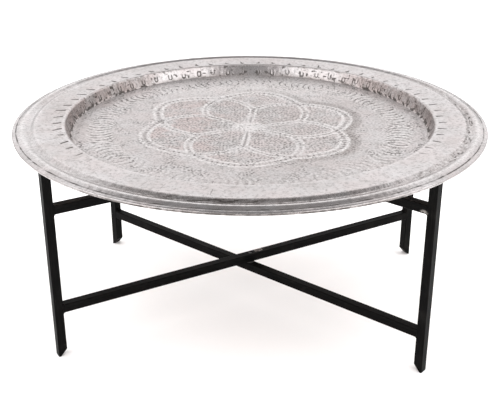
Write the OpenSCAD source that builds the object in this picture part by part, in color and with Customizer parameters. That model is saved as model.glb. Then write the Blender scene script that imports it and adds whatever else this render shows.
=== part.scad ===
// Round hammered tray on a folding stand of black square bar.
// The stand is two nested rectangular frames that cross at the middle and turn
// about one upright axis. The tray lies loose on the four leg tops.
// Millimetres. Origin on the floor under the middle of the tray, +Z up.

/* [Tray] */
// Outer diameter of the tray over the rolled edge
tray_d = 1000; // [960:5:1100]
// Thickness of the beaten sheet
sheet_t = 1.5; // [1.2:0.1:2]
// Diameter of the flat floor of the well, at the foot of its wall
well_d = 762; // [600:1:800]
// How far the wall of the well leans out between its foot and its shoulder
wall_lean = 10.5; // [6:0.5:40]
// Drop from the ledge to the floor of the well
well_depth = 27; // [15:1:45]
// Radius of the bend at the shoulder and at the foot of the wall
wall_bend_r = 5; // [3:0.5:8]
// Diameter of the rolled edge
bead_d = 7; // [6:0.5:9]

/* [Rim] */
// Radius from the tray's edge in to the top of the raised ridge
ridge_in = 21; // [18:1:26]
// Radius from the tray's edge in to the bottom of the channel
channel_in = 36; // [33:1:40]
// Radius from the tray's edge in to where the ledge begins
ledge_in = 49; // [46:1:56]
// Height of the ledge above the middle of the rolled edge
ledge_rise = 9.5; // [7:0.5:14]
// Depth of the ridge's top below the ledge
ridge_drop = 1.7; // [0.5:0.1:3]
// Depth of the channel below the ledge
channel_drop = 4.8; // [3:0.1:6]
// Play around the wire inside the rolled edge, on the radius
wire_play = 0.1; // [0.05:0.05:0.3]

/* [Stand] */
// Height of the ledge of the tray above the floor
table_h = 457.5; // [400:0.5:520]
// Width of the square bar
bar = 19; // [16:1:22]
// Radius of the bar's long edges
bar_edge_r = 1.5; // [0.5:0.1:3]
// Angle between the two frames when the stand is open
open_angle = 70.2; // [60:0.1:100]
// Distance between the leg middles of the inner frame
inner_span = 923; // [900:1:930]
// Distance between the leg middles of the outer frame
outer_span = 910; // [900:1:930]
// Height of the middle of the outer frame's lower rail
outer_low_z = 87.8; // [80:0.1:100]
// Height of the middle of the inner frame's lower rail
inner_low_z = 111.4; // [108:0.1:130]
// Height of the middle of the inner frame's upper rail
inner_high_z = 335.2; // [300:0.1:338]
// Height of the middle of the outer frame's upper rail
outer_high_z = 361.8; // [359:0.1:370]

/* [Feet] */
// Flat left under each leg, at its outer side
foot_flat = 4.5; // [3:0.5:8]
// Height of the slanted cut on the inner side of each foot
foot_rise = 16.5; // [10:0.5:20]

/* [Pivots and welds] */
// Diameter of the pivot pins
pin_d = 8; // [6:0.5:10]
// Play around a pin in the inner frame's rails, on the radius
pin_play = 0.3; // [0.2:0.05:0.5]
// Outer diameter of the collars between the rails
collar_d = 16; // [14:0.5:18]
// Leg of the fillet welds
weld = 3; // [2:0.5:5]

/* [Hidden] */
$fn = 96;
tray_r = tray_d / 2;
well_r = well_d / 2;
bead_r = bead_d / 2;
wire_r = bead_r - sheet_t - wire_play;
// Gap that keeps the loose tray and the turning frame clear of what they rest on
rest_gap = 0.3;

// Heights of the tray's upper surface
ledge_z = table_h;
well_z = ledge_z - well_depth;
bead_z = ledge_z - ledge_rise;
ridge_z = ledge_z - ridge_drop;
channel_z = ledge_z - channel_drop;

// The legs reach up to the underside of the channel
leg_top = channel_z - sheet_t - rest_gap;
inner_angle = open_angle / 2;
outer_angle = -open_angle / 2;

// Points of an arc about c from angle a0 to a1, and the steps in each arc
arc_steps = 6;
function arc(c, r, a0, a1) =
    [for (i = [0:arc_steps]) let (a = a0 + (a1 - a0) * i / arc_steps) c + r * [cos(a), sin(a)]];

// Slope of the wall of the well, and how far its bends reach along floor and wall
wall_angle = atan2(well_depth, wall_lean);
bend_reach = wall_bend_r * tan(wall_angle / 2);

// The wave of the rim: a cosine from one height to another
wave_steps = 8;
function wave(r0, z0, r1, z1) =
    [for (i = [1:wave_steps]) let (s = i / wave_steps)
        [r0 + (r1 - r0) * s, z0 + (z1 - z0) * (1 - cos(180 * s)) / 2]];

// The roll of the edge: three quarters of a turn, down the outside and back in
curl_steps = 18;
curl_turn = 270;
curl_r = bead_r - sheet_t / 2;
bead_mid = [tray_r - bead_r, bead_z];
curl = [for (i = [1:curl_steps]) let (a = 90 - curl_turn * i / curl_steps)
    bead_mid + curl_r * [cos(a), sin(a)]];

// Middle line of the sheet from the centre of the well out and round the rolled edge
mid = -sheet_t / 2;
mid_line = concat(
    [[0, well_z + mid]],
    arc([well_r - bend_reach, well_z + mid + wall_bend_r], wall_bend_r, -90, -90 + wall_angle),
    arc([well_r + wall_lean + bend_reach, ledge_z + mid - wall_bend_r], wall_bend_r,
        90 + wall_angle, 90),
    [[tray_r - ledge_in, ledge_z + mid]],
    wave(tray_r - ledge_in, ledge_z + mid, tray_r - channel_in, channel_z + mid),
    wave(tray_r - channel_in, channel_z + mid, tray_r - ridge_in, ridge_z + mid),
    wave(tray_r - ridge_in, ridge_z + mid, bead_mid[0], bead_z + curl_r),
    curl
);

// Unit normal of the middle line at point i, pointing up
function unit(v) = v / norm(v);
function normal_at(i) =
    let (
        a = mid_line[max(i - 1, 0)],
        b = mid_line[min(i + 1, len(mid_line) - 1)],
        d = unit(b - a)
    )
    [-d[1], d[0]];
// A point of the sheet, side * half the thickness off its middle line
function sheet_point(i, side) = mid_line[i] + side * sheet_t / 2 * normal_at(i);
sheet_last = len(mid_line) - 1;
sheet_outline = concat(
    [[0, well_z]],
    [for (i = [1:sheet_last]) sheet_point(i, 1)],
    [for (i = [sheet_last:-1:1]) sheet_point(i, -1)],
    [[0, well_z - sheet_t]]
);

// ---- tray ----

module tray() {
    color("silver") rotate_extrude() polygon(sheet_outline);
}

// The wire that stiffens the edge
module rim_wire() {
    color("dimgray") rotate_extrude() translate(bead_mid) circle(r = wire_r);
}

// ---- bars of the stand ----

// Section of the square bar, centred, with rounded edges
module bar_section() {
    flat = bar - 2 * bar_edge_r;
    square([bar, flat], center = true);
    square([flat, bar], center = true);
    for (x = [-1, 1], y = [-1, 1]) {
        translate([x * flat / 2, y * flat / 2]) circle(r = bar_edge_r, $fn = 24);
    }
}

// Upright leg whose outer side faces +X, with the slanted cut on its inner side
module leg() {
    intersection() {
        linear_extrude(height = leg_top) bar_section();
        translate([0, bar / 2, 0]) rotate([90, 0, 0]) linear_extrude(height = bar)
            polygon([
                [-bar / 2, foot_rise], [bar / 2 - foot_flat, 0], [bar / 2, 0],
                [bar / 2, leg_top], [-bar / 2, leg_top]
            ]);
    }
}

// Leg of a frame at angle a and side 1 or -1 of the middle
module placed_leg(a, span, side) {
    color("#1c1b1a") rotate([0, 0, side > 0 ? a : a + 180]) translate([span / 2, 0, 0]) leg();
}

// Rail between the legs of a frame, with an upright hole of hole_r for its pivot pin
module rail(a, span, z, hole_r) {
    length = span - bar;
    color("#232221") rotate([0, 0, a]) difference() {
        translate([-length / 2, 0, z]) rotate([90, 0, 90])
            linear_extrude(height = length) bar_section();
        translate([0, 0, z - bar]) cylinder(r = hole_r, h = 2 * bar);
    }
}

// Fillet welds above and below both ends of a rail
module rail_welds(a, span, z) {
    weld_w = bar - 2 * bar_edge_r;
    color("#2b2a28") rotate([0, 0, a]) for (side = [0, 180], up = [0, 1]) {
        rotate([0, 0, side]) translate([span / 2 - bar / 2, 0, z]) mirror([0, 0, up])
            translate([0, weld_w / 2, bar / 2]) rotate([90, 0, 0]) linear_extrude(height = weld_w)
                polygon([[0, 0], [0, weld], [-weld, 0]]);
    }
}

module frame_welds(a, span, z_low, z_high) {
    rail_welds(a, span, z_low);
    rail_welds(a, span, z_high);
}

// ---- pivots ----

// Pin from the bottom of the rail at z_low to the top of the rail at z_high
module pivot_pin(z_low, z_high) {
    color("#3a3937") translate([0, 0, z_low - bar / 2])
        cylinder(r = pin_d / 2, h = z_high - z_low + bar);
}

// Collar around a pin, which fills the gap between the two frames' rails
module pivot_collar(z_from, z_to) {
    color("#3a3937") difference() {
        translate([0, 0, z_from]) cylinder(r = collar_d / 2, h = z_to - z_from);
        translate([0, 0, z_from - 1]) cylinder(r = pin_d / 2, h = z_to - z_from + 2);
    }
}

// ---- nodes ----

module outer_leg_back_left() { placed_leg(outer_angle, outer_span, -1); }
module outer_leg_front_right() { placed_leg(outer_angle, outer_span, 1); }
module outer_rail_lower() { rail(outer_angle, outer_span, outer_low_z, pin_d / 2); }
module outer_rail_upper() { rail(outer_angle, outer_span, outer_high_z, pin_d / 2); }
module outer_frame_welds() { frame_welds(outer_angle, outer_span, outer_low_z, outer_high_z); }

module inner_leg_front_left() { placed_leg(inner_angle, inner_span, -1); }
module inner_leg_back_right() { placed_leg(inner_angle, inner_span, 1); }
module inner_rail_lower() { rail(inner_angle, inner_span, inner_low_z, pin_d / 2 + pin_play); }
module inner_rail_upper() { rail(inner_angle, inner_span, inner_high_z, pin_d / 2 + pin_play); }
module inner_frame_welds() { frame_welds(inner_angle, inner_span, inner_low_z, inner_high_z); }

module pivot_pin_lower() { pivot_pin(outer_low_z, inner_low_z); }
module pivot_pin_upper() { pivot_pin(inner_high_z, outer_high_z); }
module pivot_collar_lower() {
    pivot_collar(outer_low_z + bar / 2, inner_low_z - bar / 2 - rest_gap);
}
module pivot_collar_upper() {
    pivot_collar(inner_high_z + bar / 2 + rest_gap, outer_high_z - bar / 2);
}

tray();
rim_wire();
outer_leg_back_left();
outer_leg_front_right();
outer_rail_lower();
outer_rail_upper();
outer_frame_welds();
inner_leg_front_left();
inner_leg_back_right();
inner_rail_lower();
inner_rail_upper();
inner_frame_welds();
pivot_pin_lower();
pivot_pin_upper();
pivot_collar_lower();
pivot_collar_upper();
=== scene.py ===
import math

import bpy
import numpy as np
from mathutils import Matrix, Vector


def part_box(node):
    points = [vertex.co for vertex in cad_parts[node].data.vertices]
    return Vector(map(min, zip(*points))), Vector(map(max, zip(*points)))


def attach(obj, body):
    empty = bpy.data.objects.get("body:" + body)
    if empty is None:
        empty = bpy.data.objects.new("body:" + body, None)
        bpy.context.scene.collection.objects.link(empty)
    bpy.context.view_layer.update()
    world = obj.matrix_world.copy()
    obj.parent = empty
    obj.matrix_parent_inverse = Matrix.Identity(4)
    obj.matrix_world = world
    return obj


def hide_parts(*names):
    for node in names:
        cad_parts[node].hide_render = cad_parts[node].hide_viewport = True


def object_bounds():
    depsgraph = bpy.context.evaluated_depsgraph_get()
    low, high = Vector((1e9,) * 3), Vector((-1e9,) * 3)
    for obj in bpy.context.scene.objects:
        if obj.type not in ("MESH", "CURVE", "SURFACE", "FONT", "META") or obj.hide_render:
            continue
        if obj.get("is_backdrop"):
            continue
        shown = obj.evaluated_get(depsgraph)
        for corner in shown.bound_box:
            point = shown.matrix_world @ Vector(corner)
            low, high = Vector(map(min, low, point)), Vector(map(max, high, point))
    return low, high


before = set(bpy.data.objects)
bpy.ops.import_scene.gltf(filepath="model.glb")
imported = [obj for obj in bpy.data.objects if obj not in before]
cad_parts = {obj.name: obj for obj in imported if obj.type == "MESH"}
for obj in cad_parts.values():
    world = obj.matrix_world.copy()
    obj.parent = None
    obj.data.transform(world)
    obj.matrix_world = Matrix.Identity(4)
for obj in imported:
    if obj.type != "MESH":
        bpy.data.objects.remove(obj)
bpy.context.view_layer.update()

MM = 0.001

# ---- camera ----

VIEW_TURN = math.radians(4.76)
VIEW_RISE = math.radians(24.295)
VIEW_AWAY = 2.0404
VIEW_LENS = 65.4
# The camera aims at this share of the table's height
VIEW_AIM = 0.5237


def make_camera():
    """The camera looks at the middle of the table from a little above it."""
    low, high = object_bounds()
    target = Vector((0.0, 0.0, low.z + VIEW_AIM * (high.z - low.z)))
    away = Vector((math.sin(VIEW_TURN) * math.cos(VIEW_RISE),
                   -math.cos(VIEW_TURN) * math.cos(VIEW_RISE),
                   math.sin(VIEW_RISE)))
    data = bpy.data.cameras.new("camera")
    data.lens = VIEW_LENS
    data.sensor_width = 36.0
    camera = bpy.data.objects.new("camera", data)
    bpy.context.collection.objects.link(camera)
    camera.location = target + VIEW_AWAY * away
    camera.rotation_euler = (-away).to_track_quat("-Z", "Y").to_euler()
    bpy.context.scene.camera = camera


# ---- node helpers ----

class Nodes:
    """Short ways to add shader nodes to one material or world."""

    def __init__(self, tree):
        self.tree = tree

    def add(self, kind, **inputs):
        node = self.tree.nodes.new(kind)
        for name, value in inputs.items():
            self.put(node.inputs[name.replace("_", " ")], value)
        return node

    def put(self, socket, value):
        if isinstance(value, bpy.types.NodeSocket):
            self.tree.links.new(value, socket)
        else:
            socket.default_value = value

    def math(self, operation, first, second=0.0, clamp=False):
        node = self.tree.nodes.new("ShaderNodeMath")
        node.operation = operation
        node.use_clamp = clamp
        self.put(node.inputs[0], first)
        self.put(node.inputs[1], second)
        return node.outputs[0]

    def ramp(self, value, low, high, low_out=0.0, high_out=1.0):
        """A smooth step of value from low to high."""
        node = self.tree.nodes.new("ShaderNodeMapRange")
        node.interpolation_type = "SMOOTHSTEP"
        for index, item in enumerate((value, low, high, low_out, high_out)):
            self.put(node.inputs[index], item)
        return node.outputs[0]

    def mix(self, factor, first, second, kind="MIX"):
        node = self.tree.nodes.new("ShaderNodeMix")
        node.data_type = "RGBA"
        node.blend_type = kind
        self.put(node.inputs[0], factor)
        self.put(node.inputs[6], first)
        self.put(node.inputs[7], second)
        return node.outputs[2]

    def place(self, scale=(1.0, 1.0, 1.0)):
        """Object coordinates, stretched by scale."""
        where = self.tree.nodes.new("ShaderNodeTexCoord").outputs["Object"]
        node = self.tree.nodes.new("ShaderNodeMapping")
        self.put(node.inputs["Vector"], where)
        node.inputs["Scale"].default_value = scale
        return node.outputs[0]

    def noise(self, where, scale, detail=3.0, rough=0.55):
        node = self.add("ShaderNodeTexNoise", Vector=where, Scale=scale, Detail=detail,
                        Roughness=rough)
        return node.outputs[0]

    def cells(self, where, scale, feature="F1", flat=False):
        node = self.tree.nodes.new("ShaderNodeTexVoronoi")
        node.feature = feature
        node.voronoi_dimensions = "2D" if flat else "3D"
        self.put(node.inputs["Vector"], where)
        node.inputs["Scale"].default_value = scale
        return node.outputs["Distance"]

    def attribute(self, name):
        node = self.tree.nodes.new("ShaderNodeAttribute")
        node.attribute_name = name
        return node.outputs["Fac"]

    def bump(self, height, strength, distance, normal=None):
        node = self.add("ShaderNodeBump", Height=height, Strength=strength, Distance=distance)
        if normal is not None:
            self.put(node.inputs["Normal"], normal)
        return node.outputs[0]


def new_material(name):
    material = bpy.data.materials.new(name)
    material.use_nodes = True
    tree = material.node_tree
    tree.nodes.clear()
    nodes = Nodes(tree)
    shader = tree.nodes.new("ShaderNodeBsdfPrincipled")
    output = tree.nodes.new("ShaderNodeOutputMaterial")
    tree.links.new(shader.outputs[0], output.inputs[0])
    return material, nodes, shader


# ---- materials ----

def tinned_copper():
    """Rubbed tin over copper: silver, rosy where the tin is thin, dark in every mark."""
    material, n, shader = new_material("tinned_copper")
    where = n.place()
    mark = n.ramp(n.attribute("mark"), 0.30, 0.66)
    field = n.attribute("field")
    rosy = n.attribute("rosy")
    cloud = n.noise(where, 9.0, 4.0, 0.6)
    patch = n.noise(where, 34.0, 4.0, 0.65)
    grain = n.noise(where, 170.0, 3.0, 0.7)
    speck = n.noise(where, 420.0, 2.0, 0.6)
    line = n.math("MULTIPLY", n.attribute("line"), n.ramp(patch, 0.36, 0.60, 0.60, 1.0))
    line = n.math("MULTIPLY", line, n.ramp(grain, 0.42, 0.62, 1.0, 0.45))
    dots = n.ramp(n.cells(where, 150.0, flat=True), 0.22, 0.40, 1.0, 0.0)
    dots = n.math("MULTIPLY", dots, n.attribute("dots"))
    dots = n.math("MULTIPLY", dots, n.ramp(patch, 0.30, 0.58, 0.45, 1.0))
    tone = n.mix(n.ramp(cloud, 0.36, 0.64), (0.585, 0.558, 0.558, 1.0), (0.71, 0.683, 0.687, 1.0))
    thin = n.math("MULTIPLY", rosy, n.ramp(n.noise(where, 16.0, 4.0, 0.65), 0.38, 0.62))
    tone = n.mix(n.math("MULTIPLY", thin, 0.55), tone, (0.66, 0.505, 0.485, 1.0))
    tone = n.mix(n.ramp(grain, 0.48, 0.70, 0.0, 0.55), tone, (0.27, 0.255, 0.245, 1.0))
    tone = n.mix(n.ramp(patch, 0.48, 0.70, 0.0, 0.34), tone, (0.40, 0.375, 0.36, 1.0))
    # The field tone is dark stain, and also painted shade on the wall and under the rolled edge.
    tone = n.mix(n.math("MULTIPLY", field, n.ramp(speck, 0.38, 0.60, 0.35, 0.80)), tone,
                 (0.24, 0.205, 0.19, 1.0))
    # The line tone is bright polished lines, and also painted highlights on the wall's shoulder
    # and the rim's ridge.
    tone = n.mix(n.math("MULTIPLY", line, 0.80), tone, (0.88, 0.855, 0.85, 1.0))
    tone = n.mix(n.math("MULTIPLY", dots, 0.78), tone, (0.10, 0.088, 0.082, 1.0))
    # The mark tone is dark marks, and also painted shade under the rolled edge and below the
    # shoulder.
    tone = n.mix(n.math("MULTIPLY", mark, 0.86), tone, (0.075, 0.066, 0.060, 1.0))
    n.put(shader.inputs["Base Color"], tone)
    shine = n.attribute("shine")
    metal = n.math("MAXIMUM", n.ramp(cloud, 0.35, 0.65, 0.76, 0.86), shine)
    n.put(shader.inputs["Metallic"], metal)
    rough = n.ramp(grain, 0.35, 0.72, 0.32, 0.48)
    rough = n.math("SUBTRACT", rough, n.math("MULTIPLY", shine, 0.18))
    rough = n.math("ADD", rough, n.math("MULTIPLY", field, 0.14))
    rough = n.math("ADD", rough, n.math("MULTIPLY", mark, 0.25))
    n.put(shader.inputs["Roughness"], rough)
    facets = n.cells(where, 95.0, "SMOOTH_F1")
    normal = n.bump(facets, 0.35, 0.0012)
    normal = n.bump(grain, 0.30, 0.0006, normal)
    normal = n.bump(mark, 0.50, -0.0006, normal)
    normal = n.bump(dots, 0.40, -0.0005, normal)
    n.put(shader.inputs["Normal"], normal)
    return material


def tin_underside():
    """Thin, smoke-stained tin on the hidden side, with the copper showing through."""
    material, n, shader = new_material("tin_underside")
    where = n.place()
    cloud = n.noise(where, 7.0, 5.0, 0.65)
    grain = n.noise(where, 130.0, 3.0, 0.65)
    tone = n.mix(n.ramp(cloud, 0.40, 0.62), (0.50, 0.36, 0.31, 1.0), (0.60, 0.565, 0.54, 1.0))
    tone = n.mix(n.ramp(grain, 0.48, 0.72, 0.0, 0.6), tone, (0.20, 0.16, 0.14, 1.0))
    n.put(shader.inputs["Base Color"], tone)
    shader.inputs["Metallic"].default_value = 1.0
    n.put(shader.inputs["Roughness"], n.ramp(cloud, 0.3, 0.7, 0.42, 0.60))
    n.put(shader.inputs["Normal"], n.bump(n.cells(where, 60.0, "SMOOTH_F1"), 0.4, 0.0015))
    return material


def iron_wire():
    """Dark drawn wire with a little rust."""
    material, n, shader = new_material("iron_wire")
    where = n.place()
    rust = n.ramp(n.noise(where, 60.0, 4.0, 0.6), 0.48, 0.66)
    tone = n.mix(rust, (0.22, 0.21, 0.20, 1.0), (0.16, 0.07, 0.03, 1.0))
    n.put(shader.inputs["Base Color"], tone)
    n.put(shader.inputs["Metallic"], n.math("SUBTRACT", 1.0, n.math("MULTIPLY", rust, 0.8)))
    n.put(shader.inputs["Roughness"], n.ramp(rust, 0.0, 1.0, 0.38, 0.85))
    n.put(shader.inputs["Normal"], n.bump(n.noise(where, 500.0), 0.3, 0.0004))
    return material


# ---- numbers for the hand work ----

def hashed(i, j, seed):
    """An even random number from 0 to 1 for each pair of whole numbers."""
    a = (i.astype(np.int64) * 374761393 + j.astype(np.int64) * 668265263 + seed * 974634777)
    a = (a ^ (a >> 13)) & 0x7FFFFFFF
    a = (a * 1274126177) & 0x7FFFFFFF
    a = (a ^ (a >> 16)) & 0xFFFFFF
    return a / float(0xFFFFFF)


def soft_noise(x, y, seed):
    """Smooth random heights from -1 to 1 on a unit grid."""
    i, j = np.floor(x), np.floor(y)
    u, v = x - i, y - j
    u, v = u * u * (3 - 2 * u), v * v * (3 - 2 * v)
    corner = [[hashed(i + a, j + b, seed) for b in (0, 1)] for a in (0, 1)]
    low = corner[0][0] * (1 - u) + corner[1][0] * u
    high = corner[0][1] * (1 - u) + corner[1][1] * u
    return 2 * (low * (1 - v) + high * v) - 1


def blows(x, y, seed, wrap=None):
    """Distance to the nearest hammer blow on a jittered unit grid, and that blow's number."""
    i, j = np.floor(x), np.floor(y)
    best = np.full(x.shape, 9.0)
    name = np.zeros(x.shape)
    for a in (-1, 0, 1):
        for b in (-1, 0, 1):
            ci, cj = i + a, j + b
            ki = np.mod(ci, wrap) if wrap else ci
            px = ci + 0.15 + 0.7 * hashed(ki, cj, seed)
            py = cj + 0.15 + 0.7 * hashed(ki, cj, seed + 1)
            d = np.hypot(x - px, y - py)
            near = d < best
            best = np.where(near, d, best)
            name = np.where(near, hashed(ki, cj, seed + 2), name)
    return best, name


def smooth(value, low, high):
    t = np.clip((value - low) / (high - low), 0.0, 1.0)
    return t * t * (3 - 2 * t)


def edge(distance, soft=1.6):
    """1 inside a mark, 0 outside, 0.5 on its outline; distance is signed, in mm."""
    return np.clip(0.5 - distance / (2 * soft), 0.0, 1.0)


# ---- shape of the sheet ----

SHEET = 1.5
BEAD_R = 3.5
# The flat floor ends this far along the sheet from the middle
FLOOR_END = 376
# Stands for a place that carries no hand work, such as any on the hidden face
NOWHERE = 1e4
# Layers of hand work, stains, painted highlights and painted shade that the tin's material reads
LAYERS = ("mark", "line", "field", "dots", "rosy", "shine")


def arc(cx, cz, r, start, end, steps):
    """Points of an arc about a centre, between two angles in degrees."""
    a = np.radians(np.linspace(start, end, steps + 1))
    return [(cx + r * math.cos(t), cz + r * math.sin(t)) for t in a]


def wave(r0, z0, r1, z1, steps=16):
    """Points of a half wave of a cosine from one height to another."""
    s = np.linspace(0, 1, steps + 1)[1:]
    return [(r0 + (r1 - r0) * t, z0 + (z1 - z0) * (1 - math.cos(math.pi * t)) / 2) for t in s]


def sheet_profile():
    """Middle line of the tray's sheet in mm, from the centre out and round the rolled edge."""
    _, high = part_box("tray")
    rim, top = high.x / MM, high.z / MM
    well_r, lean, depth, bend = 381.0, 10.5, 27.0, 5.0
    slope = math.degrees(math.atan2(depth, lean))
    reach = bend * math.tan(math.radians(slope / 2))
    mid = -SHEET / 2
    bead_z = top - 9.5
    curl = BEAD_R - SHEET / 2
    points = [(0.0, top - depth + mid)]
    points += arc(well_r - reach, top - depth + mid + bend, bend, -90, -90 + slope, 8)
    points += arc(well_r + lean + reach, top + mid - bend, bend, 90 + slope, 90, 8)
    points.append((rim - 49, top + mid))
    points += wave(rim - 49, top + mid, rim - 36, top - 4.8 + mid)
    points += wave(rim - 36, top - 4.8 + mid, rim - 21, top - 1.7 + mid)
    points += wave(rim - 21, top - 1.7 + mid, rim - BEAD_R, bead_z + curl)
    points += arc(rim - BEAD_R, bead_z, curl, 90, -180, 30)[1:]
    return np.array(points)


def along(points, at):
    """Point and upward normal of a line of points at the given distances along it."""
    step = np.hypot(*np.diff(points, axis=0).T)
    reach = np.concatenate([[0.0], np.cumsum(step)])
    fine = np.stack([np.interp(at, reach, points[:, k]) for k in (0, 1)], 1)
    ahead = np.stack([np.interp(np.minimum(at + 0.3, reach[-1]), reach, points[:, k])
                      for k in (0, 1)], 1)
    back = np.stack([np.interp(np.maximum(at - 0.3, 0), reach, points[:, k]) for k in (0, 1)], 1)
    d = ahead - back
    d /= np.hypot(*d.T)[:, None]
    return fine, np.stack([-d[:, 1], d[:, 0]], 1)


# ---- the chased pattern, in mm, x to the right and y to the back ----

ROSETTE = (-2.2, -11.5)
# One row a petal: angle and length of the spoke, angle and reach of the outer arc,
# angle and reach of the leaf tip that follows
PETALS = (
    (18.4, 116, 22, 231, 55.8, 195),
    (85.3, 121, 86, 248, 108.3, 212),
    (141.4, 119, 141, 251, 167.9, 197),
    (204.7, 118, 200, 229, 235.9, 198),
    (265.1, 116, 269, 222, 296.3, 197),
    (326.7, 111, 326, 226, 352.9, 189),
)
BAND = 8.9
DASH_ROW = 3.5
DASH_PITCH = 12.0


def polar(angle, reach):
    a = math.radians(angle)
    return np.array([reach * math.cos(a), reach * math.sin(a)])


def arc_through(a, b, bulge):
    """Circle arc from a to b that stands out to its left by bulge times its chord."""
    t = np.linspace(0, 1, 25)[:, None]
    chord = b - a
    side = np.array([-chord[1], chord[0]])
    return a + t * chord + 4 * bulge * t * (1 - t) * side


def rosette_lines():
    """Lines of the rosette, each with its width and True for a solid groove; the outlines."""
    lines, leaves, outline = [], [], []
    count = len(PETALS)
    for k in range(count):
        angle, length, apex_angle, apex, tip_angle, tip = PETALS[k]
        after = PETALS[(k + 1) % count]
        before = PETALS[k - 1]
        spoke_end = polar(angle, length)
        next_end = polar(after[0], after[1])
        tip_at = polar(tip_angle, tip)
        from_tip = polar(before[4], before[5])
        one = arc_through(spoke_end, tip_at, -0.13)
        two = arc_through(next_end, tip_at, 0.13)
        t = np.linspace(0, 1, 9)[:, None]
        spoke = t * spoke_end
        lines += [(spoke, 1.0, k in (1, 4)), (one, 1.0, False), (two, 1.0, False)]
        leaves.append(np.concatenate([spoke, one, two[::-1], t[::-1] * next_end]))
        chord = tip_at - from_tip
        middle = (tip_at + from_tip) / 2
        rise = np.dot(polar(apex_angle, apex) - middle, np.array([chord[1], -chord[0]]))
        outer = arc_through(from_tip, tip_at, -rise / np.dot(chord, chord))
        lines.append((outer, 1.35, False))
        outline.append(outer)
    return lines, leaves, np.concatenate(outline)


def to_line(x, y, line):
    """Distance from each point to a line of points, and how far along it the foot lies."""
    best = np.full(x.shape, 1e6)
    place = np.zeros(x.shape)
    run = 0.0
    for (ax, ay), (bx, by) in zip(line[:-1], line[1:]):
        dx, dy = bx - ax, by - ay
        size = math.hypot(dx, dy)
        if size < 1e-6:
            continue
        t = np.clip(((x - ax) * dx + (y - ay) * dy) / size ** 2, 0, 1)
        d = np.hypot(x - ax - t * dx, y - ay - t * dy)
        near = d < best
        best = np.where(near, d, best)
        place = np.where(near, run + t * size, place)
        run += size
    return best, place


def inside(x, y, outline):
    """True where a point lies inside a closed outline."""
    result = np.zeros(x.shape, bool)
    for (ax, ay), (bx, by) in zip(outline, np.roll(outline, -1, axis=0)):
        if ay == by:
            continue
        cross = (ay > y) != (by > y)
        result ^= cross & (x < (bx - ax) * (y - ay) / (by - ay) + ax)
    return result


def raise_to(layer, name, value, pick=slice(None)):
    """Bring one layer up to a value wherever it is lower."""
    layer[name][pick] = np.maximum(layer[name][pick], value)


def chased_rosette(x, y, layer):
    """Bands of two bright lines with punched dashes between, round hatched fields."""
    x, y = x - ROSETTE[0], y - ROSETTE[1]
    reach = np.hypot(x, y)
    pick = reach < 300
    px, py = x[pick], y[pick]
    lines, leaves, outline = rosette_lines()
    band = np.full(px.shape, 1e6)
    dash = np.zeros(px.shape)
    for line, wide, solid in lines:
        d, place = to_line(px, py, line)
        d = d / wide
        pitch = np.abs(np.mod(place, DASH_PITCH) - DASH_PITCH / 2)
        block = d - 3.4 if solid else np.maximum(d - DASH_ROW, pitch - 2.5)
        deep = 0.76 if solid else 1.0
        dash = np.maximum(dash, deep * edge(block, 1.6) * (d < band + 4))
        band = np.minimum(band, d)
    narrow = np.clip(np.hypot(px, py) / 60, 0.35, 1)
    bright = edge(band - BAND * narrow, 1.4) * (1 - edge(band - DASH_ROW * narrow, 1.4))
    centre = 1 - smooth(np.hypot(px, py), 22, 44)
    bright = np.maximum(bright, centre)
    ring_in = inside(px, py, outline)
    leaf_in = np.zeros(px.shape, bool)
    for leaf in leaves:
        leaf_in |= inside(px, py, leaf)
    clear = (1 - edge(band - BAND * narrow, 1.5)) * (1 - centre)
    to_edge, _ = to_line(px, py, outline)
    halo = np.where(ring_in, 0, smooth(to_edge, 8, 14) * (1 - smooth(to_edge, 20, 46)))
    side = 0.25 + 0.65 * smooth(px / (np.hypot(px, py) + 1), -0.3, 0.9)
    within = clear * (ring_in & (band > 0))
    blotch = 0.5 + 0.5 * soft_noise(px / 26, py / 26, 14)
    one_way = np.cos(2 * np.pi * (px + 0.58 * py) / 13.0)
    other_way = np.cos(2 * np.pi * (px - 0.58 * py) / 13.0)
    weave = one_way * other_way
    hatch = np.where(leaf_in, np.clip(0.3 + 0.8 * weave, 0, 1), 0.35 + 0.3 * blotch)
    bare = 1 - 0.35 * smooth(soft_noise(px / 20, py / 20, 15), 0.0, 0.7)
    raise_to(layer, "mark", 0.60 * dash * bare * np.where(narrow < 0.5, 0, 1), pick)
    raise_to(layer, "mark", 0.52 * hatch * within, pick)
    raise_to(layer, "line", bright * (0.80 + 0.20 * blotch), pick)
    raise_to(layer, "field", within * (0.06 + 0.24 * blotch), pick)
    raise_to(layer, "field", 0.82 * halo * side, pick)
    raise_to(layer, "dots", within * (0.75 + 0.25 * blotch), pick)
    raise_to(layer, "dots", 0.9 * halo * side, pick)
    left = smooth(-px, 20, 120)
    raise_to(layer, "rosy", np.where(within > 0.5, 0.5 + 0.5 * left, 0.3), pick)
    layer["cut"][pick] += 0.50 * dash + 0.22 * hatch * within
    layer["cut"][pick] += 0.25 * within - 0.20 * bright + 0.12


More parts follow.
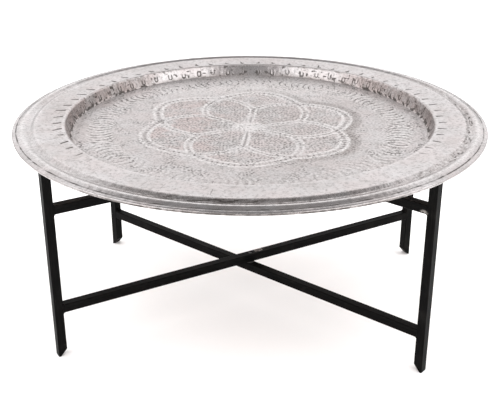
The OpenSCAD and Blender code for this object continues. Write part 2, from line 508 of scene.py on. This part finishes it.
def rippled_band(x, y, layer):
    """Nested arcs struck round twelve centres between the rosette and the wall."""
    r = np.hypot(x, y)
    angle = np.arctan2(y, x)
    pick = (r > 278) & (r < 372)
    r, angle = r[pick], angle[pick]
    middle, half, count, pitch = 322.0, 31.0, 9, 15.5
    start = math.radians(19)
    share = 2 * np.pi / count
    turn = np.mod(angle - start + share / 2, share) - share / 2
    which = np.floor((angle - start + share / 2) / share)
    wobble = 5 * (hashed(which, which * 0, 5) - 0.5)
    bow = 33.0
    across = np.clip(r - middle - wobble, -bow + 1, bow - 1)
    d = np.abs(turn) * middle + bow - np.sqrt(bow ** 2 - across ** 2)
    d = d + 1.3 * soft_noise(r / 9, angle * 34, 8)
    place = np.abs(np.mod(d, pitch) - pitch / 2)
    fade = 1 - smooth(np.abs(r - middle), half - 7, half)
    strength = 0.55 + 0.45 * soft_noise(r / 18, angle * 22, 11)
    front = 1 - 0.38 * smooth(-np.sin(angle), 0.3, 0.9)
    broken = 0.45 + 0.55 * smooth(soft_noise(r / 5, angle * 60, 12), -0.45, 0.15)
    groove = edge(place - 1.7, 1.7) * fade
    ridge = edge(pitch / 2 - place - 3.0, 2.0) * fade
    raise_to(layer, "mark", groove * broken * (0.72 + 0.28 * strength) * front, pick)
    raise_to(layer, "line", 0.8 * ridge * front, pick)
    layer["cut"][pick] += 0.45 * groove


def foot_row(x, y, layer):
    """A row of small crescents just inside the wall."""
    r = np.hypot(x, y)
    pick = (r > 355) & (r < 380)
    angle = np.arctan2(y, x)[pick]
    r = r[pick]
    share = 2 * np.pi / 120
    which = np.floor(angle / share)
    turn = (np.mod(angle, share) - share / 2) * 368
    d = np.hypot(turn, r - 371)
    crescent = edge(np.maximum(np.abs(d - 6.2) - 1.4, r - 371 - 1.5), 1.4)
    keep = 0.45 + 0.4 * hashed(which, which * 0, 21)
    raise_to(layer, "mark", crescent * keep, pick)
    layer["cut"][pick] += 0.35 * crescent


STAMPS = 64


def stamp_place(angle, seed):
    share = 2 * np.pi / STAMPS
    which = np.mod(np.floor(angle / share), STAMPS)
    shift = 0.10 * (hashed(which, which * 0, seed) - 0.5)
    turn = (np.mod(angle / share, 1.0) - 0.5 - shift) * share
    return which, turn


def wall_stamps(angle, reach, layer):
    """U-shaped stamps down the wall of the well. reach is the way along the sheet."""
    foot, shoulder = 379.0, 411.0
    pick = (reach > foot - 4) & (reach < shoulder + 6)
    which, turn = stamp_place(angle[pick], 31)
    across = turn * 386
    down = reach[pick] - foot
    start = 3 + 6 * hashed(which, which * 0, 35)
    length = 6 + 4 * hashed(which, which * 0, 32)
    bowl = np.hypot(across, np.minimum(down - start - 4, 0) * 1.1)
    shape = np.maximum(np.abs(bowl - 4.1) - 1.25, down - start - 4 - length)
    cut = edge(shape, 1.1) * (0.75 + 0.25 * hashed(which, which * 0, 36))
    raise_to(layer, "mark", cut * 0.95, pick)
    layer["cut"][pick] += 0.6 * cut


def ledge_marks(angle, r, layer):
    """A curved chisel cut beside each stamp, and long faint hammer strokes further out."""
    pick = (r > 390) & (r < 428)
    which, turn = stamp_place(angle[pick], 31)
    rr = r[pick]
    start = 396 + 4 * hashed(which, which * 0, 33)
    length = 10 + 12 * hashed(which, which * 0, 34)
    lean = 0.5 * (hashed(which, which * 0, 37) - 0.2)
    out = rr - start - length
    bowl = np.hypot(turn * 405 - lean * (rr - start), np.maximum(out, 0) * 1.1)
    left = smooth(-np.cos(angle[pick]), 0.2, 0.7)
    shape = np.maximum(bowl - 2.7 - 0.7 * left + 1.5 * np.clip(1 + out / length, 0, 1), start - rr)
    hook = np.maximum(np.abs(np.hypot(turn * 405, rr - start - 2) - 4.6) - 1.3, start + 2 - rr)
    back = smooth(np.sin(angle[pick]), 0.55, 0.9)
    cut = np.maximum(edge(shape, 1.2), (0.4 + 0.6 * back) * edge(hook, 1.2))
    front = 0.5 - 0.5 * np.sin(angle[pick])
    worn = 1 - 0.75 * smooth(front, 0.62, 0.95)
    raise_to(layer, "mark", cut * worn, pick)
    layer["cut"][pick] += 0.8 * cut * worn
    pick = (r > 404) & (r < 456)
    around = 210
    u = angle[pick] / (2 * np.pi) * around
    i = np.floor(u)
    across = np.abs(u - i - 0.2 - 0.6 * hashed(np.mod(i, around), i * 0, 44)) * 14
    lap = 8 * hashed(np.mod(i, around), i * 0, 45)
    stroke = edge(np.maximum(across - 0.9, np.abs(r[pick] - 424 - lap) - 14), 1.5)
    faint = 0.36 + 0.40 * hashed(np.mod(i, around), i * 0, 46)
    raise_to(layer, "mark", stroke * faint, pick)
    layer["cut"][pick] += 0.30 * stroke


def edge_noise(angle, r):
    """Quick and slow unevenness round the tray, the slow one from 0 to 1."""
    round_x, round_y = np.cos(angle), np.sin(angle)
    rough = soft_noise(60 * round_x + r / 3, 60 * round_y - r / 5, 51)
    slow = 0.5 + 0.5 * soft_noise(4 * round_x + r / 60, 4 * round_y, 52)
    return rough, slow


def from_back(angle):
    """How far round from the middle of the back, in radians."""
    return np.abs(np.mod(angle + np.pi / 2, 2 * np.pi) - np.pi)


def channel_dirt_and_ridge_highlight(angle, r, reach, layer):
    """Dirt in the channel, most at the front right, and a painted highlight along the ridge
    outside it.
    """
    rough, slow = edge_noise(angle, r)
    channel = smooth(r, 449, 456) * (1 - smooth(r, 468, 475)) * (reach > 440) * (reach < 500)
    dirty = 0.10 + 0.90 * smooth(np.cos(angle + 0.87), -0.2, 0.7)
    dirty = np.maximum(dirty, 0.45 * smooth(np.cos(angle + 2.2), 0.5, 0.9))
    grime = 0.20 + 0.55 * smooth(slow + 0.5 * rough, 0.35, 1.0)
    raise_to(layer, "field", channel * grime * dirty)
    raise_to(layer, "dots", 0.35 * channel * dirty)
    specks = smooth(rough + 0.8 * slow, 0.75, 1.1) * channel * dirty
    raise_to(layer, "mark", 0.60 * specks)
    flecks = smooth(-rough, 0.35, 0.75) * channel * dirty
    raise_to(layer, "line", flecks)
    # Painted highlight: a bright line along the ridge outside the channel.
    ridge = np.exp(-((r - 479) / 4.0) ** 2) * (reach > 480)
    raise_to(layer, "line", 0.75 * ridge)


def bead_groove_and_underside_shade(angle, r, reach, roll, layer):
    """A dark groove inside the rolled edge, and painted shade on the edge's underside."""
    rough, _ = edge_noise(angle, r)
    groove = np.exp(-((r - 490.5) / 2.4) ** 2) * (reach > 500)
    back_fade = 1 - 0.7 * smooth(np.sin(angle), 0.1, 0.6)
    raise_to(layer, "mark", groove * (0.60 + 0.20 * rough) * back_fade)
    front = 1 - smooth(np.abs(from_back(angle) - np.pi), 0.40, 0.75)
    # Painted shade: the underside of the rolled edge is darkened, most at the front, where it
    # faces the shadow under the tray.
    under = smooth(reach - roll, 1.5, 4.8) * (reach < NOWHERE) * (0.60 + 0.40 * front)
    raise_to(layer, "mark", under * (0.58 + 0.20 * rough))
    raise_to(layer, "field", under)


def wall_painted_light_and_pits(angle, r, reach, layer):
    """Painted light and shade on the wall of the well: darker at its foot, a painted shadow just
    below its shoulder, a painted highlight on the shoulder and painted shade towards the sides;
    with pits, a copper tint and shine.
    """
    rough, _ = edge_noise(angle, r)
    sides = smooth(from_back(angle), 0.55, 0.80)
    # Painted shadow: a dark line just below the shoulder's edge.
    lip_shadow = np.exp(-((reach - 407) / 2.6) ** 2)
    raise_to(layer, "field", lip_shadow * (0.65 + 0.3 * rough))
    raise_to(layer, "mark", 0.50 * lip_shadow * smooth(rough, -0.2, 0.6))
    # Painted highlight: a bright line along the shoulder.
    shoulder = np.exp(-((reach - 412) / 3.0) ** 2)
    raise_to(layer, "line", 0.45 * shoulder * (0.6 + 0.4 * rough))
    foot = np.exp(-((reach - 382) / 6.0) ** 2)
    raise_to(layer, "field", foot * (0.75 + 0.2 * rough))
    raise_to(layer, "mark", 0.70 * foot * smooth(rough, -0.5, 0.3) * (0.6 + 0.4 * sides))
    wall = smooth(reach, FLOOR_END, 384) * (1 - smooth(reach, 404, 412))
    # Painted shade: the wall is darker, with more dots, towards the sides.
    raise_to(layer, "field", wall * (0.12 + sides * (0.70 + 0.25 * rough)))
    raise_to(layer, "dots", wall * sides * 0.5)
    pit = soft_noise(angle / (2 * np.pi) * 380, reach / 4.5, 54)
    raise_to(layer, "mark", 0.60 * wall * smooth(pit, 0.30, 0.75))
    raise_to(layer, "rosy", wall * (0.25 + 0.75 * sides))
    raise_to(layer, "rosy", 0.30)
    raise_to(layer, "shine", wall)
    raise_to(layer, "shine", smooth(r, 448, 456) * (reach < NOWHERE))


def ledge_bloom_and_floor_gradient(angle, r, reach, layer):
    """A dull bloom on the ledge, and the floor of the well darker towards the front and lighter
    towards the back.
    """
    round_x, round_y = np.cos(angle), np.sin(angle)
    rough, slow = edge_noise(angle, r)
    ledge = smooth(reach, 410, 416) * (1 - smooth(r, 444, 452)) * (reach < NOWHERE)
    dull = 0.5 + 0.5 * smooth(round_y - round_x, -0.2, 0.9)
    bloom = 0.06 + 0.20 * smooth(slow + 0.3 * rough, 0.3, 0.9)
    raise_to(layer, "field", ledge * dull * bloom)
    floor = reach < FLOOR_END
    back = smooth(round_y * r, 120, 330)
    darker_to_front = 1 - back + 0.5 * smooth(-round_y * r, 150, 330)
    raise_to(layer, "field", floor * (0.12 + 0.16 * slow) * darker_to_front)
    cloud = soft_noise(22 * round_x * r / 380, 22 * round_y * r / 380, 53)
    raise_to(layer, "dots", floor * 0.28 + 0.72 * (floor * smooth(cloud, -0.1, 0.7)))
    # The back of the floor is lightened with the bright line tone.
    raise_to(layer, "line", 0.70 * (smooth(round_y * r, 150, 330) * floor))


def hammering(x, y, r, angle):
    """Depth of the hammer blows in mm: round on the floor, long and radial on the ledge."""
    d, name = blows(x / 21, y / 21, 61)
    floor = (0.30 + 0.25 * name) * np.clip(1 - (d / 0.72) ** 2, 0, 1)
    d, name = blows(angle / (2 * np.pi) * 96, r / 34, 71, 96)
    ledge = (0.30 + 0.30 * name) * np.clip(1 - (d / 0.72) ** 2, 0, 1)
    flute = 0.5 + 0.5 * soft_noise(24 * np.cos(angle) + r / 70, 24 * np.sin(angle), 75)
    ledge = 0.7 * ledge + 0.55 * flute * smooth(r, 398, 410)
    share = smooth(r, 372, 392)
    return floor * (1 - share) + ledge * share


def warp(angle, r):
    """How far the hand-made sheet sinks, in mm, in long soft swells."""
    across = 6 + 3 * np.cos(angle) * r / 500
    back = 6 + 3 * np.sin(angle) * r / 500
    swell = 0.5 + 0.5 * soft_noise(across, back, 81)
    return 0.9 * swell * (1 - smooth(r, 430, 452))


def edge_pull(angle):
    """How far the rolled edge is drawn in, in mm, because the tray isn't quite round."""
    swell = 0.5 + 0.25 * np.cos(2 * angle + 0.7) + 0.25 * np.cos(3 * angle - 1.1)
    dents = 0.5 + 0.5 * soft_noise(angle / (2 * np.pi) * 44 + 60, angle * 0, 91)
    return 1.3 * swell + 0.8 * dents


# ---- the tray's mesh ----

def ring_counts(radius, coarse):
    """Points round a ring, doubling as the ring grows; coarse on the hidden side."""
    counts = np.full(radius.shape, 30)
    for limit in (12, 24, 48, 96, 192):
        counts = np.where(radius > limit, counts * 2, counts)
    counts = np.where((radius > 377) & (radius < 416), counts * 2, counts)
    return np.where(coarse, np.clip(counts // 3, 10, 320), counts)


def spaced(stops):
    """Distances along the profile, from (end, step) pairs."""
    values, start = [], 0.0
    for end, step in stops:
        number = max(int(round((end - start) / step)), 1)
        values += list(np.linspace(start, end, number + 1)[1:])
        start = end
    return np.array(values)


def stitch(first, n1, second, n2, faces):
    """Faces between two rings whose counts are equal or a whole multiple apart."""
    if n1 == n2:
        j = np.arange(n1)
        k = (j + 1) % n1
        faces += np.stack([first + j, first + k, second + k, second + j], 1).tolist()
        return
    flip = n1 > n2
    few, many = (second, first) if flip else (first, second)
    a, b = (n2, n1) if flip else (n1, n2)
    ratio = b // a
    for j in range(a):
        k = (j + 1) % a
        fine = [many + (j * ratio + m) % b for m in range(ratio + 1)]
        half = ratio // 2
        new = [[few + j, fine[m + 1], fine[m]] for m in range(half)]
        new.append([few + j, few + k, fine[half]])
        new += [[few + k, fine[m + 1], fine[m]] for m in range(half, ratio)]
        faces += [face[::-1] for face in new] if flip else new


def tray_layers(angle, r, reach, roll):
    """Every layer of hand work, stains, painted highlights and painted shade at the given places
    of the top face.
    """
    turned = angle - VIEW_TURN
    x, y = r * np.cos(turned), r * np.sin(turned)
    turned = np.mod(turned, 2 * np.pi)
    layer = {name: np.zeros(r.shape) for name in LAYERS + ("cut",)}
    flat = reach < FLOOR_END
    fx, fy = np.where(flat, x, NOWHERE), np.where(flat, y, NOWHERE)
    chased_rosette(fx, fy, layer)
    rippled_band(fx, fy, layer)
    foot_row(fx, fy, layer)
    wall_stamps(turned, reach, layer)
    ledge_marks(turned, np.where(reach > 410, r, 0), layer)
    channel_dirt_and_ridge_highlight(turned, r, reach, layer)
    bead_groove_and_underside_shade(turned, r, reach, roll, layer)
    wall_painted_light_and_pits(turned, r, reach, layer)
    ledge_bloom_and_floor_gradient(turned, r, reach, layer)
    return layer


def make_tray():
    """One closed sheet: the chased top, the rolled edge and the plain underside."""
    profile = sheet_profile()
    total = np.hypot(*np.diff(profile, axis=0).T).sum()
    curl = (BEAD_R - SHEET / 2) * math.radians(270)
    roll = total - curl
    top_at = spaced(((374, 2.4), (384, 1.2), (402, 1.6), (412, 1.2), (440, 2.0), (452, 2.6),
                     (roll, 2.0), (total, 1.1)))
    low_at = spaced(((374, 9.0), (384, 2.5), (402, 6.0), (412, 2.5), (452, 8.0), (roll, 3.5),
                     (total, 1.6)))[::-1]
    rows = [(s, 1) for s in top_at] + [(s, -1) for s in low_at]
    reach = np.array([s for s, _ in rows])
    side = np.array([v for _, v in rows])
    mid, normal = along(profile, reach)
    coarse = (side < 0) & (reach < roll)
    counts = ring_counts(mid[:, 0], coarse)
    starts = np.concatenate([[1], 1 + np.cumsum(counts)])
    ring = np.repeat(np.arange(len(rows)), counts)
    step = np.arange(len(ring)) - (starts[ring] - 1)
    angle = 2 * np.pi * step / counts[ring]
    r, s = mid[ring, 0], reach[ring]
    layer = tray_layers(angle, r, np.where(side[ring] > 0, s, NOWHERE), roll)
    x, y = r * np.cos(angle), r * np.sin(angle)
    cut = np.where(side[ring] > 0, layer["cut"], 0)
    calm = 1 - smooth(r, 448, 456)
    sunk = cut * (1 - smooth(r, 452, 458)) + hammering(x, y, r, angle) * (0.25 + 0.75 * calm)
    sunk = np.where(s > roll - 4, 0.35 * sunk, sunk)
    sunk = np.where((side[ring] < 0) & (r > 430), 0, sunk)
    offset = side[ring] * SHEET / 2 - sunk
    pull = edge_pull(angle) * smooth(r, 470, 490)
    out = r + normal[ring, 0] * offset - pull
    sag = warp(angle, r) * (1 - smooth(r, 380, 384) * 0.6)
    high = mid[ring, 1] + normal[ring, 1] * offset - sag
    points = np.stack([out * np.cos(angle), out * np.sin(angle), high], 1)
    top_z, low_z = high[:counts[0]].mean(), high[-counts[-1]:].mean()
    points = np.concatenate([[[0, 0, top_z]], points, [[0, 0, low_z]]]) * MM
    faces = []
    stitch_centre(0, int(starts[0]), int(counts[0]), faces, False)
    for k in range(len(rows) - 1):
        stitch(int(starts[k]), int(counts[k]), int(starts[k + 1]), int(counts[k + 1]), faces)
    stitch_centre(len(points) - 1, int(starts[len(rows) - 1]), int(counts[-1]), faces, True)
    mesh = bpy.data.meshes.new("tray_visual")
    mesh.from_pydata(points.tolist(), [], faces)
    mesh.update()
    for name in LAYERS:
        values = np.concatenate([[layer[name][0]], layer[name], [0.0]]).astype(np.float32)
        mesh.attributes.new(name, "FLOAT", "POINT").data.foreach_set("value", values)
    under = np.zeros(len(faces), np.int32)
    last_top = int(starts[len(top_at)])
    lowest = np.array([min(face) for face in faces])
    under[lowest >= last_top] = 1
    mesh.materials.append(tinned_copper())
    mesh.materials.append(tin_underside())
    mesh.polygons.foreach_set("material_index", under)
    mesh.polygons.foreach_set("use_smooth", np.ones(len(faces), bool))
    tray = bpy.data.objects.new("tray_visual", mesh)
    bpy.context.collection.objects.link(tray)
    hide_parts("tray")
    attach(tray, "tray")


def stitch_centre(centre, ring, count, faces, flip):
    for j in range(count):
        k = (j + 1) % count
        face = [centre, ring + j, ring + k]
        faces.append(face[::-1] if flip else face)


def make_rim_wire():
    """The wire inside the rolled edge, drawn in with it."""
    low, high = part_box("rim_wire")
    outer, thick = high.x / MM, (high.z - low.z) / MM
    round_n, section = 240, 12
    a = np.repeat(2 * np.pi * np.arange(round_n) / round_n, section)
    b = np.tile(2 * np.pi * np.arange(section) / section, round_n)
    out = outer - thick / 2 - edge_pull(a) + thick / 2 * np.cos(b)
    high_at = (low.z + high.z) / 2 / MM + thick / 2 * np.sin(b)
    points = np.stack([out * np.cos(a), out * np.sin(a), high_at], 1) * MM
    faces = []
    for i in range(round_n):
        for j in range(section):
            k, m = (i + 1) % round_n, (j + 1) % section
            faces.append([i * section + j, k * section + j, k * section + m, i * section + m])
    mesh = bpy.data.meshes.new("rim_wire_visual")
    mesh.from_pydata(points.tolist(), [], faces)
    mesh.polygons.foreach_set("use_smooth", np.ones(len(faces), bool))
    mesh.materials.append(iron_wire())
    wire = bpy.data.objects.new("rim_wire_visual", mesh)
    bpy.context.collection.objects.link(wire)
    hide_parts("rim_wire")
    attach(wire, "tray")


# ---- the stand ----

# Sizes of the rubbed spot and of the painted weld highlight, and their places, in metres
CROSSING_SPOT = 0.013
CROSSING_SHIFT = 0.024
CROSSING_ASIDE = 0.003
# The outer frame's spot is a painted highlight on the weld under an upper joint.
JOINT_SPOT = 0.009
JOINT_SHIFT = 0.019
JOINT_UP = 0.003
# A spot is longer along its bar than across it
SPOT_ALONG = 0.8
SPOT_ACROSS = 1.3

def black_paint(name, turn, upright, rub_and_glint_spot):
    """Brushed-on black paint with faint streaks along the bar, and one lighter spot: rubbed
    through on the inner frame, a painted highlight on the outer frame's weld.
    """
    material, n, shader = new_material(name)
    where = n.tree.nodes.new("ShaderNodeTexCoord").outputs["Object"]
    node = n.tree.nodes.new("ShaderNodeMapping")
    n.put(node.inputs["Vector"], where)
    node.inputs["Rotation"].default_value = (0.0, 0.0, -turn)
    bar_at = node.outputs[0]
    stretch = n.tree.nodes.new("ShaderNodeMapping")
    n.put(stretch.inputs["Vector"], bar_at)
    stretch.inputs["Scale"].default_value = (60.0, 60.0, 3.0) if upright else (3.0, 60.0, 60.0)
    streak = n.noise(stretch.outputs[0], 6.0, 3.0, 0.6)
    cloud = n.noise(bar_at, 26.0, 4.0, 0.6)
    dust = n.noise(bar_at, 700.0, 2.0, 0.7)
    tone = n.mix(n.ramp(streak, 0.35, 0.70), (0.0012, 0.0011, 0.0011, 1.0),
                 (0.0045, 0.0042, 0.0040, 1.0))
    tone = n.mix(n.ramp(cloud, 0.52, 0.75, 0.0, 0.5), tone, (0.013, 0.012, 0.011, 1.0))
    chip = n.ramp(n.noise(bar_at, 95.0, 4.0, 0.7), 0.70, 0.74)
    chip = n.math("MULTIPLY", chip, n.ramp(cloud, 0.5, 0.6))
    tone = n.mix(chip, tone, (0.16, 0.145, 0.13, 1.0))
    spot = n.tree.nodes.new("ShaderNodeMapping")
    n.put(spot.inputs["Vector"], bar_at)
    spot.inputs["Scale"].default_value = (SPOT_ALONG, SPOT_ACROSS, SPOT_ACROSS)
    away = n.tree.nodes.new("ShaderNodeVectorMath")
    away.operation = "DISTANCE"
    n.tree.links.new(spot.outputs[0], away.inputs[0])
    at = Matrix.Rotation(-turn, 3, "Z") @ rub_and_glint_spot[0]
    away.inputs[1].default_value = (SPOT_ALONG * at.x, SPOT_ACROSS * at.y,
                                    SPOT_ACROSS * at.z)
    worn = n.math("MULTIPLY", n.ramp(away.outputs["Value"], 0.4 * rub_and_glint_spot[1], rub_and_glint_spot[1], 1.0, 0.0),
                  n.ramp(n.noise(bar_at, 240.0, 3.0, 0.6), 0.45, 0.55))
    # The lighter spot: rubbed paint on the inner frame, a painted highlight on the outer frame's
    # weld.
    tone = n.mix(worn, tone, (0.26, 0.245, 0.23, 1.0))
    n.put(shader.inputs["Base Color"], tone)
    n.put(shader.inputs["Roughness"], n.ramp(streak, 0.3, 0.75, 0.40, 0.60))
    shader.inputs["Specular IOR Level"].default_value = 0.05
    normal = n.bump(streak, 0.25, 0.0006)
    normal = n.bump(dust, 0.25, 0.0003, normal)
    n.put(shader.inputs["Normal"], normal)
    return material


def pivot_steel():
    """Blackened steel, polished where the frames rub."""
    material, n, shader = new_material("pivot_steel_worn")
    where = n.place((1.0, 1.0, 4.0))
    rub = n.ramp(n.noise(where, 70.0, 4.0, 0.6), 0.50, 0.68)
    tone = n.mix(rub, (0.030, 0.028, 0.027, 1.0), (0.22, 0.21, 0.20, 1.0))
    n.put(shader.inputs["Base Color"], tone)
    n.put(shader.inputs["Metallic"], n.ramp(rub, 0.0, 1.0, 0.3, 0.95))
    n.put(shader.inputs["Roughness"], n.ramp(rub, 0.0, 1.0, 0.55, 0.30))
    n.put(shader.inputs["Normal"], n.bump(n.noise(where, 500.0), 0.25, 0.0003))
    return material


def set_material(node, material):
    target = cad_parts[node]
    if not target.material_slots:
        target.data.materials.append(material)
    for slot in target.material_slots:
        slot.material = material


def rubbed_spot_and_glint():
    """Where the paint is rubbed off beside the lower crossing, and where a painted highlight lies
    on the weld under one upper joint.
    """
    pin_low, pin_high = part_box("pivot_pin_lower")
    low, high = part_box("inner_rail_lower")
    middle = (pin_low + pin_high) / 2
    along_bar = Vector((high.x - low.x, high.y - low.y, 0.0)).normalized()
    across = Vector((-along_bar.y, along_bar.x, 0.0)) * CROSSING_ASIDE
    crossing = Vector((middle.x, middle.y, high.z)) + CROSSING_SHIFT * along_bar + across
    leg_low, leg_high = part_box("outer_leg_front_right")
    rail_low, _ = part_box("outer_rail_upper")
    leg = (leg_low + leg_high) / 2
    joint = Vector((leg.x - JOINT_SHIFT, leg.y, rail_low.z + JOINT_UP))
    return {"inner": (crossing, CROSSING_SPOT), "outer": (joint, JOINT_SPOT)}


def dress_stand():
    """Give every bar, weld, pin and collar its finish."""
    spots = rubbed_spot_and_glint()
    for kind in ("outer", "inner"):
        names = [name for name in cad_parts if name.startswith(kind)]
        low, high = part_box(kind + "_rail_lower")
        turn = math.atan2(high.y - low.y, high.x - low.x) * (-1 if kind == "outer" else 1)
        rail = black_paint(kind + "_rail_paint", turn, False, spots[kind])
        leg = black_paint(kind + "_leg_paint", turn, True, spots[kind])
        for name in names:
            set_material(name, leg if "_leg_" in name else rail)
    steel = pivot_steel()
    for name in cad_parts:
        if name.startswith("pivot"):
            set_material(name, steel)


# ---- studio ----

def make_floor():
    """A plain pale floor with a barely seen grain."""
    size = 9.0
    mesh = bpy.data.meshes.new("floor")
    corners = [(-size, -size, 0), (size, -size, 0), (size, size, 0), (-size, size, 0)]
    mesh.from_pydata(corners, [], [(0, 1, 2, 3)])
    material, n, shader = new_material("floor_white")
    grain = n.noise(n.place(), 3.0, 2.0)
    tone = n.mix(grain, (0.90, 0.90, 0.90, 1.0), (0.94, 0.94, 0.94, 1.0))
    n.put(shader.inputs["Base Color"], tone)
    shader.inputs["Roughness"].default_value = 0.9
    mesh.materials.append(material)
    floor = bpy.data.objects.new("floor", mesh)
    bpy.context.collection.objects.link(floor)
    floor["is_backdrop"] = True


def add_softbox(name, azimuth, rise, away, wide, tall, power):
    """A square soft light that faces the table."""
    low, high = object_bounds()
    target = Vector((0.0, 0.0, (low.z + high.z) / 2))
    a, e = math.radians(azimuth), math.radians(rise)
    toward = Vector((math.sin(a) * math.cos(e), -math.cos(a) * math.cos(e), math.sin(e)))
    data = bpy.data.lights.new(name, "AREA")
    data.shape = "RECTANGLE"
    data.size = wide
    data.size_y = tall
    data.energy = power
    light = bpy.data.objects.new(name, data)
    bpy.context.collection.objects.link(light)
    light.location = target + away * toward
    light.rotation_euler = (-toward).to_track_quat("-Z", "Y").to_euler()
    return light


def make_studio():
    """A pale room, darker behind the camera, with a bright window on either side of it."""
    world = bpy.data.worlds.new("studio")
    bpy.context.scene.world = world
    world.use_nodes = True
    tree = world.node_tree
    tree.nodes.clear()
    n = Nodes(tree)
    where = tree.nodes.new("ShaderNodeTexCoord").outputs["Generated"]
    def toward(azimuth, rise):
        """How closely a direction in the room points to the given azimuth and rise."""
        dot = tree.nodes.new("ShaderNodeVectorMath")
        dot.operation = "DOT_PRODUCT"
        tree.links.new(where, dot.inputs[0])
        a, e = VIEW_TURN + math.radians(azimuth), math.radians(rise)
        dot.inputs[1].default_value = (math.sin(a) * math.cos(e), -math.cos(a) * math.cos(e),
                                       math.sin(e))
        return dot.outputs["Value"]
    sideways = n.math("ABSOLUTE", toward(90, 0))
    rise = toward(0, 90)
    high = n.math("SUBTRACT", rise, n.math("MULTIPLY", sideways, 0.42))
    walls = n.math("MULTIPLY", n.ramp(rise, -0.02, 0.20), n.ramp(high, 0.44, 0.72, 1.0, 0.0))
    windows = n.ramp(sideways, 0.84, 0.94, 0.5, 0.0)
    windows = n.math("MULTIPLY", n.ramp(sideways, 0.20, 0.34), windows)
    windows = n.math("MULTIPLY", windows, n.ramp(toward(180, 0), 0.1, 0.5, 1.0, 0.0))
    light = n.math("MULTIPLY", walls, n.math("ADD", windows, 0.84))
    light = n.math("MULTIPLY", light, n.ramp(toward(0, 17), 0.86, 0.96, 1.0, 0.15))
    light = n.math("ADD", light, 0.32)
    path = tree.nodes.new("ShaderNodeLightPath")
    light = n.math("MAXIMUM", light, path.outputs["Is Camera Ray"])
    light = n.math("ADD", light, n.math("MULTIPLY", path.outputs["Is Diffuse Ray"], 0.75))
    background = tree.nodes.new("ShaderNodeBackground")
    background.inputs["Color"].default_value = (1.0, 0.993, 0.993, 1.0)
    tree.links.new(light, background.inputs["Strength"])
    output = tree.nodes.new("ShaderNodeOutputWorld")
    tree.links.new(background.outputs[0], output.inputs[0])
    turn = math.degrees(VIEW_TURN)
    overhead = add_softbox("overhead", turn, 89, 3.2, 5.0, 5.0, 130)
    overhead.visible_glossy = False
    bpy.context.scene.view_settings.view_transform = "Standard"


make_camera()
make_tray()
make_rim_wire()
dress_stand()
make_floor()
make_studio()
